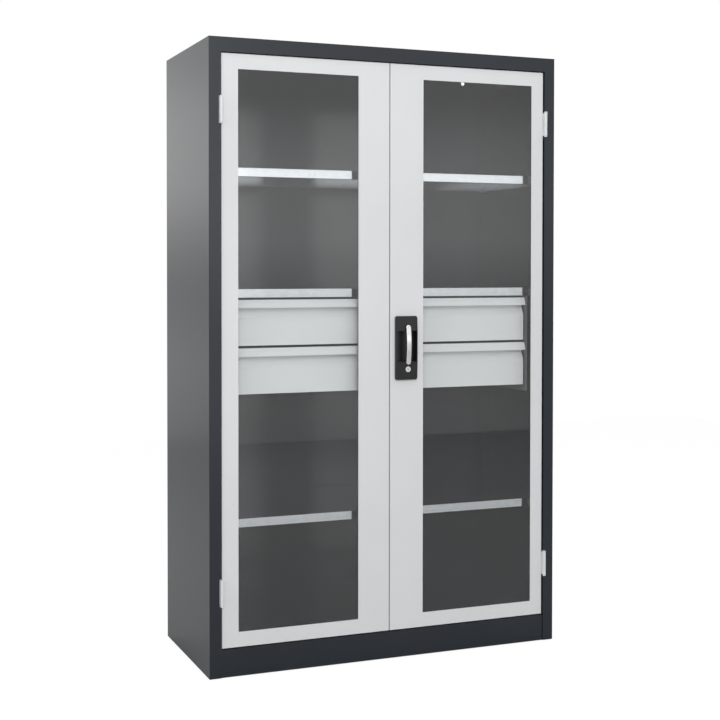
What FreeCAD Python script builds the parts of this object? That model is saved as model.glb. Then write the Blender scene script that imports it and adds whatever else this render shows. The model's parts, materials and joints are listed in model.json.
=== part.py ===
import FreeCAD, Part
import math
import os

import Sketcher

# Heavy-duty storage cabinet: folded steel carcass, two glazed doors on outside barrel hinges, three
# adjustable shelves and two full-width drawers on three-part runners. A bow handle throws two bolts
# through a rack and pinion. Millimetres, +X right, +Y to the back, +Z up, front towards -Y.

doc = FreeCAD.newDocument("storage_cabinet")
cells = doc.addObject("Spreadsheet::Sheet", "sizes")
nodes = []


class Size:
    """A number together with the spreadsheet expression that gives it."""

    def __init__(self, value, text):
        self.value = value
        self.text = text

    def joined(self, sign, other, value):
        return Size(value, f"({self.text} {sign} {sized(other).text})")

    def __add__(self, other):
        return self.joined("+", other, self.value + sized(other).value)

    def __sub__(self, other):
        return self.joined("-", other, self.value - sized(other).value)

    def __mul__(self, other):
        return self.joined("*", other, self.value * sized(other).value)

    def __truediv__(self, other):
        return self.joined("/", other, self.value / sized(other).value)

    def __radd__(self, other):
        return sized(other) + self

    def __rsub__(self, other):
        return sized(other) - self

    def __rmul__(self, other):
        return sized(other) * self

    def __neg__(self):
        return sized(0) - self


def sized(thing):
    return thing if isinstance(thing, Size) else Size(float(thing), f"{float(thing):.9f}")


def whole(thing):
    """Round a size down to a whole number."""
    return Size(math.floor(thing.value), f"floor({thing.text})")


def size(alias, value):
    """Write one independent size into its own aliased cell."""
    row = f"B{size.rows}"
    size.rows += 1
    cells.set(row, str(value))
    cells.setAlias(row, alias)
    return Size(float(value), f"sizes.{alias}")


size.rows = 1
near_enough = 0.01

# Carcass
cab_w = size("cab_w", 1200)
cab_d = size("cab_d", 500)
cab_h = size("cab_h", 1950)
wall = size("wall", 1.2)
bend_r = size("bend_r", 2)
foot_h = size("foot_h", 4)
foot_r = size("foot_r", 18)
stud_r = size("stud_r", 5)
stud_h = size("stud_h", 34)
foot_inset_x = size("foot_inset_x", 22)
foot_inset_y = size("foot_inset_y", 50)
jamb_w = size("jamb_w", 37.5)
jamb_d = size("jamb_d", 25)
rear_lip = size("rear_lip", 35)
sill_w = size("sill_w", 44)
header_h = size("header_h", 45)
plinth_h = size("plinth_h", 90)
ledge_d = size("ledge_d", 32)
plinth_set = size("plinth_set", 3)
floor_z = size("floor_z", 122)
floor_lip = size("floor_lip", 27)
wall_hole_r = size("wall_hole_r", 7.25)
wall_hole_inset = size("wall_hole_inset", 82)
wall_hole_drop = size("wall_hole_drop", 19)

# Uprights, shelves and clips
upright_w = size("upright_w", 40)
upright_d = size("upright_d", 13.2)
upright_front = size("upright_front", 70)
upright_rear = size("upright_rear", 55)
slot_w = size("slot_w", 15)
slot_h = size("slot_h", 5)
slot_base = size("slot_base", 153.5)
slot_pitch = size("slot_pitch", 37.25)
slot_head = size("slot_head", 60)
clip_t = size("clip_t", 2)
clip_play = size("clip_play", 1)
clip_reach = size("clip_reach", 17)
clip_hook = size("clip_hook", 7)
fit = size("fit", 0.5)
shelf_front = size("shelf_front", 35)
shelf_rear = size("shelf_rear", 9)
shelf_side = size("shelf_side", 2)
shelf_h = size("shelf_h", 26)
shelf_lip = size("shelf_lip", 18)
lower_slot = size("lower_slot", 8)
middle_slot = size("middle_slot", 27)
upper_slot = size("upper_slot", 37)

# Drawers and runners
drawer_side = size("drawer_side", 74.1)
drawer_front_h = size("drawer_front_h", 142)
drawer_split = size("drawer_split", 8)
drawer_head = size("drawer_head", 7.25)
grip_front = size("grip_front", 34)
grip_h = size("grip_h", 25)
grip_lean = size("grip_lean", 8)
face_set = size("face_set", 15)
finger_set = size("finger_set", 26)
finger_h = size("finger_h", 9)
finger_slope = size("finger_slope", 23)
front_back = size("front_back", 31)
box_inset = size("box_inset", 8)
box_rear = size("box_rear", 32.6)
box_h = size("box_h", 96)
box_lift = size("box_lift", 4)
carrier_gap = size("carrier_gap", 6.5)
carrier_t = size("carrier_t", 2)
carrier_under = size("carrier_under", 21.75)
carrier_front = size("carrier_front", 44)
carrier_lip = size("carrier_lip", 6)
carrier_rear = size("carrier_rear", 23.6)
carrier_clear = size("carrier_clear", 3.6)
rail_h = size("rail_h", 45)
rail_short = size("rail_short", 9.5)
rail_lift = size("rail_lift", 52)
rail_gap = size("rail_gap", 0.4)
rail_step = size("rail_step", 2)
rail_tip = size("rail_tip", 3)

# Doors, panes and hinges
door_gap = size("door_gap", 3)
door_set = size("door_set", 5)
door_d = size("door_d", 24)
door_lip = size("door_lip", 15)
edge_set = size("edge_set", 3)
axis_proud = size("axis_proud", 8)
hinge_stile = size("hinge_stile", 48.5)
window_rail = size("window_rail", 46)
window_shift = size("window_shift", 4.5)
pane_t = size("pane_t", 3)
pane_lap = size("pane_lap", 10)
frame_lap = size("frame_lap", 9)
frame_t = size("frame_t", 6)
stiffener_x = size("stiffener_x", 24)
stiffener_w = size("stiffener_w", 56)
stiffener_d = size("stiffener_d", 15)
stiffener_lip = size("stiffener_lip", 12)
barrel_r = size("barrel_r", 5)
notch_side = size("notch_side", 1)
barrel_h = size("barrel_h", 75)
hinge_end = size("hinge_end", 171.5)
pin_r = size("pin_r", 2.5)
ear_floor = size("ear_floor", 1.2)
run_fit = size("run_fit", 0.05)
end_play = size("end_play", 0.3)
leaf_t = size("leaf_t", 2)
leaf_d = size("leaf_d", 24)
ear_h = size("ear_h", 3.7)
ear_t = size("ear_t", 3)
plate_t = size("plate_t", 2)
plate_gap = size("plate_gap", 2.8)

# Handle, lock and bolts
lock_x = size("lock_x", 58.5)
case_w = size("case_w", 76.5)
case_left = size("case_left", 41.5)
case_h = size("case_h", 204)
case_z = size("case_z", 895)
case_proud = size("case_proud", 12)
case_corner = size("case_corner", 7)
case_edge = size("case_edge", 2.5)
case_tilt = size("case_tilt", 2.5)
pocket_left = size("pocket_left", 36)
pocket_right = size("pocket_right", 32)
pocket_up = size("pocket_up", 58)
pocket_down = size("pocket_down", 10.5)
well_side = size("well_side", 1.7)
well_gap = size("well_gap", 2.2)
case_wall = size("case_wall", 1.8)
spindle_down = size("spindle_down", 36.5)
spindle_r = size("spindle_r", 6)
spindle_tip_r = size("spindle_tip_r", 3)
spindle_square = size("spindle_square", 8)
bow_w = size("bow_w", 16.5)
bow_t = size("bow_t", 5)
bow_sag = size("bow_sag", 6)
bow_clear = size("bow_clear", 6)
bow_gap = size("bow_gap", 0.5)
bow_round = size("bow_round", 2.5)
bow_bevel = size("bow_bevel", 1)
boss_r = size("boss_r", 7.5)
key_up = size("key_up", 34)
key_barrel_r = size("key_barrel_r", 9)
key_plug_r = size("key_plug_r", 6)
key_proud = size("key_proud", 1.2)
key_l = size("key_l", 24)
keyway_w = size("keyway_w", 1.6)
keyway_h = size("keyway_h", 7)
keyway_d = size("keyway_d", 9)
cam_l = size("cam_l", 17)
cam_w = size("cam_w", 10)
cam_t = size("cam_t", 2)
rod_t = size("rod_t", 6)
rod_w = size("rod_w", 11)
rod_tip = size("rod_tip", 1)
gear_module = size("gear_module", 1.25)
gear_teeth = size("gear_teeth", 16)
gear_angle = size("gear_angle", 20)
gear_tip = size("gear_tip", 1)
gear_root = size("gear_root", 1.25)
rack_teeth = size("rack_teeth", 8)
gear_lash = size("gear_lash", 0.12)
rack_over = size("rack_over", 24)
rack_under = size("rack_under", 8)
gear_case_w = size("gear_case_w", 57)
gear_case_low = size("gear_case_low", 8)
gear_case_high = size("gear_case_high", 28)
gear_case_t = size("gear_case_t", 1.5)
guide_w = size("guide_w", 22)
guide_h = size("guide_h", 24)
guide_near = size("guide_near", 300)
guide_far = size("guide_far", 40)
guide_fit = size("guide_fit", 0.2)

# Planes that many pieces share
front = (case_proud + bow_gap + bow_t + bow_sag - door_set - cab_d) / 2
back = front + cab_d
half_w = cab_w / 2
inner_half = half_w - wall
jamb_x = half_w - jamb_w
roof_z = cab_h - wall
header_z = cab_h - header_h
back_face = back - wall * 2
axis_x = jamb_x
axis_y = front - axis_proud
door_y = front + door_set
skin_y = door_y + wall
door_back = door_y + door_d
door_edge = axis_x - edge_set
door_mid = door_gap / 2
door_low = plinth_h + door_gap
door_top = header_z - door_gap
case_top = case_z + case_h
spindle_z = case_top - spindle_down
key_z = case_z + key_up
pocket_low = case_z + pocket_up
pocket_top = spindle_z - pocket_down
well_left = pocket_left + case_wall
well_right = pocket_right + case_wall
window_out = door_edge - hinge_stile
window_in = lock_x + well_right + well_side + pane_lap + frame_lap
window_low = door_low + window_rail
window_top = door_top - window_rail
land_y = door_y - case_proud
rod_y = door_back - gear_case_t - fit - rod_t
well_back = rod_y - well_gap
web_x = inner_half - upright_d
drawer_half = web_x - drawer_side
box_half = drawer_half - box_inset
runner_x = drawer_half + carrier_gap
middle_base = slot_base + slot_pitch * middle_slot + clip_t
drawer_low_z = middle_base - drawer_head - drawer_front_h * 2 - drawer_split
box_y = front + grip_front + front_back
box_back = back_face - box_rear


def body(label):
    made = doc.addObject("PartDesign::Body", label)
    made.Label = label
    nodes.append(made)
    return made


def sketch(host, plane, level):
    made = host.newObject("Sketcher::SketchObject", f"{host.Name}_sketch")
    for feature in host.Origin.OriginFeatures:
        if feature.Role == plane:
            made.AttachmentSupport = (feature, [""])
    made.MapMode = "FlatFace"
    made.setExpression("AttachmentOffset.Base.z", sized(level).text)
    return made


def pin_point(flat, geometry, end, point):
    """Hold one point of a sketch at two bound coordinates."""
    for kind, part in (("DistanceX", sized(point[0])), ("DistanceY", sized(point[1]))):
        held = flat.addConstraint(Sketcher.Constraint(kind, -1, 1, geometry, end, part.value))
        flat.setExpression(f"Constraints[{held}]", part.text)


def loop(flat, corners):
    spots = [FreeCAD.Vector(sized(x).value, sized(y).value, 0) for x, y in corners]
    first = flat.GeometryCount
    count = len(spots)
    for i in range(count):
        flat.addGeometry(Part.LineSegment(spots[i], spots[(i + 1) % count]))
    for i in range(count):
        flat.addConstraint(Sketcher.Constraint("Coincident", first + i, 2, first + (i + 1) % count, 1))
    for i in range(count):
        pin_point(flat, first + i, 1, corners[i])


def ring(flat, centre, radius):
    spot = FreeCAD.Vector(sized(centre[0]).value, sized(centre[1]).value, 0)
    radius = sized(radius)
    added = flat.addGeometry(Part.Circle(spot, FreeCAD.Vector(0, 0, 1), radius.value))
    pin_point(flat, added, 3, centre)
    held = flat.addConstraint(Sketcher.Constraint("Radius", added, radius.value))
    flat.setExpression(f"Constraints[{held}]", radius.text)


def box(x0, x1, y0, y1):
    return [(x0, y0), (x1, y0), (x1, y1), (x0, y1)]


def grown(host, kind, flat, low, high):
    made = host.newObject(f"PartDesign::{kind}", f"{host.Name}_{kind}")
    made.Profile = flat
    made.setExpression("Length", (high - low).text)
    flat.Visibility = False
    return made


def pad(host, plane, corners, low, high, hole=None):
    """Add material between two levels, measured along the plane's own world axis."""
    low, high = sized(low), sized(high)
    flat = sketch(host, plane, -high if plane == "XZ_Plane" else low)
    loop(flat, corners)
    if hole:
        loop(flat, hole)
    return grown(host, "Pad", flat, low, high)


def pocket(host, plane, corners, low, high):
    low, high = sized(low), sized(high)
    flat = sketch(host, plane, -low if plane == "XZ_Plane" else high)
    loop(flat, corners)
    return grown(host, "Pocket", flat, low, high)


def round_pad(host, plane, centre, radius, low, high, hole=None):
    low, high = sized(low), sized(high)
    flat = sketch(host, plane, -high if plane == "XZ_Plane" else low)
    ring(flat, centre, radius)
    if hole:
        ring(flat, centre, hole)
    return grown(host, "Pad", flat, low, high)


def bore(host, plane, centre, radius, low, high):
    low, high = sized(low), sized(high)
    flat = sketch(host, plane, -low if plane == "XZ_Plane" else high)
    ring(flat, centre, radius)
    return grown(host, "Pocket", flat, low, high)


def row(host, original, axis, pitch, count, backwards=False):
    """Repeat one feature along a sketch axis."""
    made = host.newObject("PartDesign::LinearPattern", f"{host.Name}_row")
    made.Originals = [original]
    made.Direction = (original.Profile[0], [axis])
    made.Reversed = backwards
    made.setExpression("Length", (pitch * (count - 1)).text)
    made.setExpression("Occurrences", count.text)
    host.Tip = made
    return made


def folded(path, thick):
    """Outline of a folded strip: its outer path and that path set to the left by the sheet."""
    spots = [(sized(x).value, sized(y).value) for x, y in path]
    normals = []
    for (x0, y0), (x1, y1) in zip(spots, spots[1:]):
        run = math.hypot(x1 - x0, y1 - y0)
        normals.append(((y0 - y1) / run, (x1 - x0) / run))
    inner = []
    for i, (x, y) in enumerate(path):
        before = normals[max(i - 1, 0)]
        after = normals[min(i, len(normals) - 1)]
        mitre = 1 + before[0] * after[0] + before[1] * after[1]
        over = [(before[k] + after[k]) / mitre for k in (0, 1)]
        inner.append((x + thick * over[0], y + thick * over[1]))
    return list(path) + inner[::-1]


def flipped(side, points):
    """Mirror an outline drawn for the right side; -1 gives the left."""
    return [(sized(x) * side, y) for x, y in points]


def span(side, near, far):
    """Order two distances from the middle plane along +X for one side."""
    return (near, far) if side > 0 else (-far, -near)


def soften(host, amount, chosen, kind="Fillet"):
    """Round or chamfer every edge that the given test picks."""
    doc.recompute()
    sharp = host.Tip
    names = [f"Edge{i + 1}" for i, edge in enumerate(sharp.Shape.Edges) if chosen(edge)]
    if not names:
        raise RuntimeError(f"no edge to round on {host.Label}")
    made = host.newObject(f"PartDesign::{kind}", f"{host.Name}_{kind}")
    made.Base = (sharp, names)
    made.setExpression("Radius" if kind == "Fillet" else "Size", amount.text)
    return made


def upright_edge(*spots):
    """Pick edges along Z that stand over any of the given points of the plan."""
    plan = [FreeCAD.Vector(sized(x).value, sized(y).value, 0) for x, y in spots]

    def test(edge):
        ends = [FreeCAD.Vector(v.X, v.Y, 0) for v in edge.Vertexes]
        return any(all(end.distanceToPoint(spot) < near_enough for end in ends) for spot in plan)
    return test


def reach(edge, axis):
    """How far apart the ends of an edge lie along one axis."""
    along = [vertex.Point.dot(axis) for vertex in edge.Vertexes]
    return max(along) - min(along)


to_back = FreeCAD.Vector(0, 1, 0)
upwards = FreeCAD.Vector(0, 0, 1)

# Carcass: each side is one sheet with a boxed front jamb, a rear lip and a floor sill
hinge_centres = [door_top - hinge_end, door_low + hinge_end]
notch_half = barrel_h / 2 + end_play + ear_h + fit
for side, name in ((-1, "left"), (1, "right")):
    panel = body(f"{name}_side_panel")
    path = [
        (jamb_x, front + jamb_d),
        (jamb_x, front),
        (half_w, front),
        (half_w, back),
        (half_w - rear_lip, back),
    ]
    pad(panel, "XY_Plane", flipped(side, folded(path, wall)), foot_h, roof_z)
    sill = box(*span(side, half_w - sill_w, inner_half), front + jamb_d, back_face)
    pad(panel, "XY_Plane", sill, foot_h, foot_h + wall)
    for sign in (1, -1):
        spot = (side * (half_w - foot_inset_x), (front + back) / 2 + sign * (cab_d / 2 - foot_inset_y))
        bore(panel, "XY_Plane", spot, stud_r + fit, foot_h, foot_h + wall)
    for centre in hinge_centres:
        opening = span(side, jamb_x - fit, axis_x + barrel_r + notch_side)
        notch = box(*opening, centre - notch_half, centre + notch_half)
        pocket(panel, "XZ_Plane", notch, front - fit, front + wall + plate_t + fit)
    soften(panel, bend_r, upright_edge((side * half_w, front)))

rear = body("back_panel")
pad(rear, "XZ_Plane", box(-inner_half, inner_half, foot_h, roof_z), back_face, back_face + wall)
for side in (-1, 1):
    anchor = (side * (half_w - wall_hole_inset), cab_h - wall_hole_drop)
    bore(rear, "XZ_Plane", anchor, wall_hole_r, back_face, back)

roof = body("top_panel")
pad(roof, "XY_Plane", box(-half_w, half_w, front, back), roof_z, cab_h)
header = [(front + ledge_d, header_z), (front, header_z), (front, roof_z)]
pad(roof, "YZ_Plane", folded(header[::-1], wall), -jamb_x, jamb_x)

deck = body("floor_panel")
deck_front = front + shelf_front
deck_path = [
    (deck_front, floor_z - floor_lip),
    (deck_front, floor_z),
    (back_face, floor_z),
    (back_face, floor_z - floor_lip),
]
pad(deck, "YZ_Plane", folded(deck_path[::-1], wall), -inner_half, inner_half)

kick = body("plinth")
kick_y = front + plinth_set
kick_path = [(kick_y, foot_h), (kick_y, plinth_h), (front + ledge_d, plinth_h)]
pad(kick, "YZ_Plane", folded(kick_path[::-1], wall), -jamb_x, jamb_x)

feet = body("levelling_feet")
for side in (-1, 1):
    for sign in (1, -1):
        spot = (side * (half_w - foot_inset_x), (front + back) / 2 + sign * (cab_d / 2 - foot_inset_y))
        round_pad(feet, "XY_Plane", spot, foot_r, 0, foot_h)
        round_pad(feet, "XY_Plane", spot, stud_r, foot_h, foot_h + stud_h)

# Slotted uprights: a channel against each side wall, with the clip slots in its web
slot_count = whole((roof_z - slot_base - slot_head) / slot_pitch) + 1
upright_lines = {"front": front + upright_front, "rear": back - upright_rear}
for place, line in upright_lines.items():
    for side, name in ((-1, "left"), (1, "right")):
        post = body(f"upright_{place}_{name}")
        channel = [
            (inner_half, line - upright_w / 2),
            (web_x, line - upright_w / 2),
            (web_x, line + upright_w / 2),
            (inner_half, line + upright_w / 2),
        ]
        pad(post, "XY_Plane", flipped(side, folded(channel[::-1], wall)), floor_z, roof_z)
        slot = box(line - slot_w / 2, line + slot_w / 2, slot_base, slot_base + slot_h)
        first = pocket(post, "YZ_Plane", slot, *span(side, web_x - fit, web_x + wall + fit))
        row(post, first, "V_Axis", slot_pitch, slot_count)

shelf_half = web_x - shelf_side
shelf_levels = {"upper": upper_slot, "middle": middle_slot, "lower": lower_slot}
clips = body("shelf_clips")
clip_w = slot_w - clip_play
for level, index in shelf_levels.items():
    seat = slot_base + slot_pitch * index
    base = seat + clip_t
    tray = body(f"{level}_shelf")
    y0, y1 = front + shelf_front, back_face - shelf_rear
    fold = [
        (y0 + shelf_lip, base),
        (y0, base),
        (y0, base + shelf_h),
        (y1, base + shelf_h),
        (y1, base),
        (y1 - shelf_lip, base),
    ]
    pad(tray, "YZ_Plane", folded(fold[::-1], wall), -shelf_half, shelf_half)
    for side in (-1, 1):
        cheek = box(y0 + wall, y1 - wall, base, base + shelf_h - wall)
        pad(tray, "YZ_Plane", cheek, *span(side, shelf_half - wall, shelf_half))
        for line in upright_lines.values():
            plan = box(line - clip_w / 2, line + clip_w / 2, seat, base)
            tongue = span(side, web_x - clip_reach, web_x + wall + fit + clip_t)
            pad(clips, "YZ_Plane", plan, *tongue)
            hook = box(line - clip_w / 2, line + clip_w / 2, seat - clip_hook, seat)
            pad(clips, "YZ_Plane", hook, *span(side, web_x + wall + fit, web_x + wall + fit + clip_t))

# Drawer carriers hang from the middle shelf and hold the fixed rails
carrier_out = web_x - clip_reach - carrier_clear
carrier_low = drawer_low_z - carrier_under
for side, name in ((-1, "left"), (1, "right")):
    cradle = body(f"drawer_carrier_{name}")
    sheet_path = [
        (carrier_out, middle_base),
        (runner_x, middle_base),
        (runner_x, carrier_low),
    ]
    section = flipped(side, folded(sheet_path, carrier_t))
    pad(cradle, "XZ_Plane", section, front + carrier_front, back_face - carrier_rear)
    lip = box(*span(side, runner_x, runner_x + carrier_lip), carrier_low, middle_base)
    pad(cradle, "XZ_Plane", lip, front + carrier_front, front + carrier_front + carrier_t)

outer_rails = body("slide_outer_rails")
for order, label in enumerate(("lower", "upper")):
    low = drawer_low_z + (drawer_front_h + drawer_split) * order
    top = low + drawer_front_h
    middle = low + rail_lift
    tray = body(f"{label}_drawer_box")
    floor = low + box_lift
    pad(tray, "XY_Plane", box(-box_half, box_half, box_y, box_back), floor, floor + box_h)
    inside = box(-box_half + wall, box_half - wall, box_y + wall, box_back - wall)
    pocket(tray, "XY_Plane", inside, floor + wall, floor + box_h)

    face = body(f"{label}_drawer_front")
    grip_y = front + grip_front
    main_y = grip_y + face_set
    deep_y = grip_y + finger_set
    bend_z = top - grip_h - finger_h
    outside = [
        (box_y, top),
        (grip_y + grip_lean, top),
        (grip_y, top - grip_h),
        (deep_y, top - grip_h),
        (deep_y, bend_z),
        (main_y, bend_z - finger_slope),
        (main_y, low),
        (box_y, low),
    ]
    pad(face, "YZ_Plane", folded(outside, wall), -drawer_half, drawer_half)
    for side in (-1, 1):
        pad(face, "YZ_Plane", outside, *span(side, drawer_half - wall, drawer_half))

    mid_rails = body(f"{label}_mid_rails")
    inner_rails = body(f"{label}_inner_rails")
    half = rail_h / 2
    for side in (-1, 1):
        mid_x = runner_x - wall - rail_step
        nest = wall + rail_gap
        layers = (
            (outer_rails, runner_x, box_half + rail_tip, half),
            (mid_rails, mid_x, box_half + rail_tip, half - nest),
            (inner_rails, box_half, mid_x - wall - rail_step, half - nest * 2),
        )
        for host, root_x, tip_x, tall in layers:
            channel = [
                (tip_x, middle - tall),
                (root_x, middle - tall),
                (root_x, middle + tall),
                (tip_x, middle + tall),
            ]
            if host is inner_rails:
                channel = channel[::-1]
            section = flipped(side, folded(channel, wall))
            pad(host, "XZ_Plane", section, box_y + fit, box_back - rail_short)

# Doors: a folded pan with a window, a pane behind the skin and a screwed frame that clamps it
gear_r = gear_module * gear_teeth / 2
rod_x = {"upper": lock_x + gear_r, "lower": lock_x - gear_r}
for side, name in ((-1, "left"), (1, "right")):
    pan = body(f"{name}_door_pan")
    outline = [
        (door_mid + door_lip, door_back),
        (door_mid, door_back),
        (door_mid, door_y),
        (door_edge, door_y),
        (door_edge, door_back),
        (door_edge - door_lip, door_back),
    ]
    pad(pan, "XY_Plane", flipped(side, folded(outline, wall)), door_low, door_top)
    for low in (door_low, door_top - wall):
        edge = box(*span(side, door_mid + wall, door_edge - wall), skin_y, door_back)
        pad(pan, "XY_Plane", edge, low, low + wall)
    sight_x = (window_in + window_shift * side, window_out + window_shift * side)
    glass = span(side, *sight_x)
    pocket(pan, "XZ_Plane", box(*glass, window_low, window_top), door_y, skin_y)
    if side > 0:
        rim = case_wall + fit
        across = (lock_x - well_left - fit, lock_x + well_right + fit)
        hole = box(*across, pocket_low - rim, pocket_top + rim)
        pocket(pan, "XZ_Plane", hole, door_y, skin_y)
        bore(pan, "XZ_Plane", (lock_x, spindle_z), spindle_r + fit, door_y, skin_y)
        bore(pan, "XZ_Plane", (lock_x, key_z), key_barrel_r + fit, door_y, skin_y)
        for which, x in rod_x.items():
            sign = 1 if which == "upper" else -1
            edges = (x - gear_module * gear_tip * sign, x + (gear_module * gear_root + rod_w) * sign)
            near, away = edges if sign > 0 else edges[::-1]
            slot = box(near - fit, away + fit, rod_y - fit, rod_y + rod_t + fit)
            low = door_top - wall if which == "upper" else door_low
            pocket(pan, "XY_Plane", slot, low, low + wall)
            keeper, ledge = (roof, header_z) if which == "upper" else (kick, plinth_h - wall)
            pocket(keeper, "XY_Plane", slot, ledge, ledge + wall)
    soften(pan, bend_r, upright_edge((side * door_edge, door_y), (side * door_mid, door_y)))

    pane = body(f"{name}_pane")
    sheet_x = span(side, sight_x[0] - pane_lap, sight_x[1] + pane_lap)
    sheet = box(*sheet_x, window_low - pane_lap, window_top + pane_lap)
    pad(pane, "XZ_Plane", sheet, skin_y, skin_y + pane_t)

    clamp = body(f"{name}_glazing_frame")
    lap = pane_lap + frame_lap
    rim = box(*span(side, sight_x[0] - lap, sight_x[1] + lap), window_low - lap, window_top + lap)
    sight = box(*glass, window_low, window_top)
    pad(clamp, "XZ_Plane", rim, skin_y, skin_y + frame_t, sight)
    seat_x = span(side, sight_x[0] - pane_lap - fit, sight_x[1] + pane_lap + fit)
    rebate = box(*seat_x, window_low - pane_lap - fit, window_top + pane_lap + fit)
    pocket(clamp, "XZ_Plane", rebate, skin_y, skin_y + pane_t)

    barrels = body(f"{name}_hinge_barrels")
    for centre in hinge_centres:
        low, high = centre - barrel_h / 2, centre + barrel_h / 2
        round_pad(barrels, "XY_Plane", (side * axis_x, axis_y), barrel_r, low, high)
        leaf = span(side, door_edge, door_edge + leaf_t)
        root_y = axis_y + pin_r + fit
        pad(barrels, "XY_Plane", box(*leaf, root_y, root_y + leaf_d), low, high)
        bore(barrels, "XY_Plane", (side * axis_x, axis_y), pin_r + run_fit, low, high)

stay = body("left_door_stiffener")
stay_path = [
    (stiffener_x, skin_y),
    (stiffener_x + stiffener_lip, skin_y),
    (stiffener_x + stiffener_lip, skin_y + stiffener_d),
    (stiffener_x + stiffener_w - stiffener_lip, skin_y + stiffener_d),
    (stiffener_x + stiffener_w - stiffener_lip, skin_y),
    (stiffener_x + stiffener_w, skin_y),
]
pad(stay, "XY_Plane", flipped(-1, folded(stay_path, wall)), door_low + wall, door_top - wall)

# Hinge brackets sit behind the jambs, and a pin stands in the blind lower ear of each
brackets = body("hinge_brackets")
pins = body("hinge_pins")
for side in (-1, 1):
    for centre in hinge_centres:
        low = centre - barrel_h / 2 - end_play - ear_h
        high = centre + barrel_h / 2 + end_play + ear_h
        reach_x = span(side, axis_x, inner_half - plate_gap)
        plate = box(*reach_x, front + wall, front + wall + plate_t)
        pad(brackets, "XY_Plane", plate, low, high)
        for start in (low, high - ear_h):
            round_pad(brackets, "XY_Plane", (side * axis_x, axis_y), barrel_r, start, start + ear_h)
            arm = box(*span(side, axis_x + barrel_r - ear_t, axis_x + barrel_r), axis_y, front + wall)
            pad(brackets, "XY_Plane", arm, start, start + ear_h)
        seat = low + ear_floor
        bore(brackets, "XY_Plane", (side * axis_x, axis_y), pin_r + run_fit, seat, low + ear_h)
        bore(brackets, "XY_Plane", (side * axis_x, axis_y), pin_r + run_fit, high - ear_h, high)
        round_pad(pins, "XY_Plane", (side * axis_x, axis_y), pin_r, seat, high)

# Handle case: a moulded shell with a finger pocket, a spindle bearing and the lock's seat
shell = body("handle_housing")
shell_x = (lock_x - case_left, lock_x - case_left + case_w)
brow_y = land_y + case_tilt
shell_side = [
    (door_y, case_z),
    (brow_y, case_z),
    (land_y, pocket_low),
    (land_y, pocket_top),
    (brow_y, case_top),
    (door_y, case_top),
]
pad(shell, "YZ_Plane", shell_side, *shell_x)
soften(shell, case_corner, lambda edge: reach(edge, to_back) > case_proud.value / 2)
creases = (pocket_low.value, pocket_top.value)


def on_rim(edge):
    """Tell the rim of the front from the two creases across it."""
    ends = edge.Vertexes
    crease = any(all(abs(v.Z - level) < near_enough for v in ends) for level in creases)
    return all(v.Y < brow_y.value + near_enough for v in ends) and not crease


soften(shell, case_edge, on_rim)
outer = box(lock_x - well_left, lock_x + well_right, pocket_low - case_wall, pocket_top + case_wall)
pad(shell, "XZ_Plane", outer, door_y, well_back)
hollow = box(lock_x - pocket_left, lock_x + pocket_right, pocket_low, pocket_top)
pocket(shell, "XZ_Plane", hollow, land_y, well_back - case_wall)
bore(shell, "XZ_Plane", (lock_x, spindle_z), spindle_r + run_fit, land_y, door_y)
bore(shell, "XZ_Plane", (lock_x, key_z), key_barrel_r + run_fit, land_y, door_y)

# Bow handle: an arched grip cut from its side view, rounded all along, with a boss at each end
bow = body("bow_handle")
bow_top = spindle_z + bow_w / 2
bow_low = key_z + key_barrel_r + bow_clear
bow_l = bow_top - bow_low
near_y = land_y - bow_gap
arch = sketch(bow, "YZ_Plane", lock_x - bow_w / 2)
chord_r = (bow_l * bow_l / 4 + bow_sag * bow_sag) / (bow_sag * 2)
ends = [(near_y, bow_low), (near_y - bow_t, bow_low), (near_y - bow_t, bow_top), (near_y, bow_top)]
tips = [FreeCAD.Vector(x.value, y.value, 0) for x, y in ends]
crown = FreeCAD.Vector(-bow_sag.value, bow_l.value / 2, 0)
arch.addGeometry(Part.LineSegment(tips[0], tips[1]))
arch.addGeometry(Part.Arc(tips[1], tips[1] + crown, tips[2]))
arch.addGeometry(Part.LineSegment(tips[2], tips[3]))
arch.addGeometry(Part.Arc(tips[0], tips[0] + crown, tips[3]))
for spot, (line, end) in zip(ends, ((0, 1), (0, 2), (2, 1), (2, 2))):
    pin_point(arch, line, end, spot)
for curve, joins in ((1, ((0, 2), (2, 1))), (3, ((0, 1), (2, 2)))):
    arc = arch.Geometry[curve]
    for geometry, end in joins:
        held = arch.getPoint(geometry, end)
        near = 1 if arch.getPoint(curve, 1).distanceToPoint(held) < near_enough else 2
        arch.addConstraint(Sketcher.Constraint("Coincident", geometry, end, curve, near))
    bent = arch.addConstraint(Sketcher.Constraint("Radius", curve, arc.Radius))
    arch.setExpression(f"Constraints[{bent}]", chord_r.text)
grown(bow, "Pad", arch, lock_x - bow_w / 2, lock_x + bow_w / 2)
soften(bow, boss_r, lambda edge: reach(edge, to_back) > bow_t.value / 2)
bow_mid = (near_y - bow_t / 2).value
for kind, amount, outside in (("Fillet", bow_round, True), ("Chamfer", bow_bevel, False)):
    soften(bow, amount, lambda edge: reach(edge, upwards) > bow_l.value / 4
           and all((v.Y < bow_mid) == outside for v in edge.Vertexes), kind)
for z in (bow_top - bow_w / 2, bow_low + bow_w / 2):
    round_pad(bow, "XZ_Plane", (lock_x, z), boss_r, near_y - bow_t / 2, near_y)

spindle = body("spindle")
round_pad(spindle, "XZ_Plane", (lock_x, spindle_z), spindle_r, near_y, rod_y - fit)
half = spindle_square / 2
square = box(lock_x - half, lock_x + half, spindle_z - half, spindle_z + half)
pad(spindle, "XZ_Plane", square, rod_y - fit, rod_y + rod_t)
gear_back = door_back - gear_case_t
round_pad(spindle, "XZ_Plane", (lock_x, spindle_z), spindle_tip_r, rod_y + rod_t, door_back)

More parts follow.
